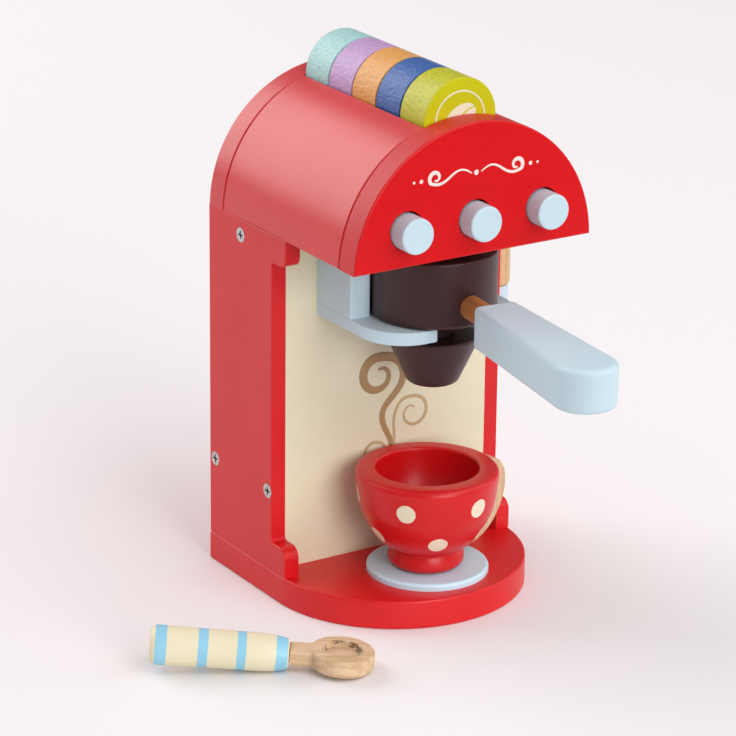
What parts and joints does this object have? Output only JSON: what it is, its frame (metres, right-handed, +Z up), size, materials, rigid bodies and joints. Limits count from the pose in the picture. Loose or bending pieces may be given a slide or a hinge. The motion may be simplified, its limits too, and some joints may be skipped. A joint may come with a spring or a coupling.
{
  "type": "toy coffee maker",
  "caption": "Painted wooden toy coffee maker with a half-round head, push buttons, a turning filter holder, loose pods, a dotted cup on a saucer, a steam wand and a spoon.",
  "frame": {"origin": "underside of the base, at the centre of the base's half-round front", "axes": "+X to the machine's right as seen from the front, +Y to the back, +Z up"},
  "size_m": [0.2267, 0.2344, 0.2447],
  "materials": {
    "red_paint": "satin",
    "cream_paint": "satin",
    "pale_blue_paint": "satin",
    "dark_brown_paint": "satin",
    "warm_hardwood": "matte",
    "beech": "matte",
    "plain_board": "matte",
    "zinc_steel": "satin",
    "spring_steel": "satin",
    "aqua_paint": "satin",
    "purple_paint": "satin",
    "orange_paint": "satin",
    "blue_paint": "satin",
    "lime_paint": "satin"
  },
  "bodies": {
    "machine": {"back_board": "red_paint", "base_plate": "red_paint", "base_screws": "zinc_steel", "block_screws": "zinc_steel", "button_backing": "plain_board", "button_spring_left": "spring_steel", "button_spring_middle": "spring_steel", "button_spring_right": "spring_steel", "fork_block_left": "pale_blue_paint", "fork_block_right": "pale_blue_paint", "fork_pegs": "beech", "fork_plate": "pale_blue_paint", "front_board": "cream_paint", "head_back_plate": "red_paint", "head_cleat": "plain_board", "head_floor": "plain_board", "head_front_plate": "red_paint", "head_pegs": "beech", "head_screws": "zinc_steel", "head_shell_left": "red_paint", "head_shell_right": "red_paint", "panel_screws": "zinc_steel", "pod_trough": "red_paint", "saucer_disc": "pale_blue_paint", "side_panel_left": "red_paint", "side_panel_right": "red_paint", "top_rail": "red_paint", "wand_pin": "beech"},
    "filter_holder": {"holder_body": "dark_brown_paint", "holder_spout": "dark_brown_paint", "holder_dowel": "warm_hardwood", "holder_handle": "pale_blue_paint"},
    "left_push_button": {"button_left": "pale_blue_paint"},
    "middle_push_button": {"button_middle": "pale_blue_paint"},
    "right_push_button": {"button_right": "pale_blue_paint"},
    "cup": {"cup_body": "red_paint", "cup_grip": "beech"},
    "steam_wand": {"wand_barrel": "beech", "wand_tip": "pale_blue_paint"},
    "spoon": {"spoon_handle": "cream_paint", "spoon_scoop": "beech"},
    "loose_pod_1": {"pod_1": "aqua_paint"},
    "loose_pod_2": {"pod_2": "purple_paint"},
    "loose_pod_3": {"pod_3": "orange_paint"},
    "loose_pod_4": {"pod_4": "blue_paint"},
    "loose_pod_5": {"pod_5": "lime_paint"}
  },
  "joints": [
    {"name": "filter_holder_turn", "type": "hinge", "parent": "machine", "child": "filter_holder", "pos_m": [0, -0.0302, 0.136], "axis": [0, 0, 1], "range_deg": [-74, 85]},
    {"name": "left_button_press", "type": "slide", "parent": "machine", "child": "left_push_button", "axis": [0, 1, 0], "range_m": [0, 0.006], "stiffness_N_per_m": 150, "springref_m": -0.01, "deforming": ["button_spring_left"]},
    {"name": "middle_button_press", "type": "slide", "parent": "machine", "child": "middle_push_button", "axis": [0, 1, 0], "range_m": [0, 0.006], "stiffness_N_per_m": 150, "springref_m": -0.01, "deforming": ["button_spring_middle"]},
    {"name": "right_button_press", "type": "slide", "parent": "machine", "child": "right_push_button", "axis": [0, 1, 0], "range_m": [0, 0.006], "stiffness_N_per_m": 150, "springref_m": -0.01, "deforming": ["button_spring_right"]},
    {"name": "steam_wand_swing", "type": "hinge", "parent": "machine", "child": "steam_wand", "pos_m": [0.0684, 0.025, 0.15], "axis": [1, 0, 0], "range_deg": [-45, 30]},
    {"name": "pod_1_lift", "type": "slide", "parent": "machine", "child": "loose_pod_1", "axis": [0, 0, 1], "range_m": [0, 0.04]},
    {"name": "pod_2_lift", "type": "slide", "parent": "machine", "child": "loose_pod_2", "axis": [0, 0, 1], "range_m": [0, 0.04]},
    {"name": "pod_3_lift", "type": "slide", "parent": "machine", "child": "loose_pod_3", "axis": [0, 0, 1], "range_m": [0, 0.04]},
    {"name": "pod_4_lift", "type": "slide", "parent": "machine", "child": "loose_pod_4", "axis": [0, 0, 1], "range_m": [0, 0.04]},
    {"name": "pod_5_lift", "type": "slide", "parent": "machine", "child": "loose_pod_5", "axis": [0, 0, 1], "range_m": [0, 0.04]},
    {"name": "cup_slide_out", "type": "slide", "parent": "machine", "child": "cup", "axis": [0, -1, 0], "range_m": [0, 0.11]},
    {"name": "spoon_lift", "type": "slide", "parent": "machine", "child": "spoon", "axis": [0, 0, 1], "range_m": [0, 0.05]}
  ]
}
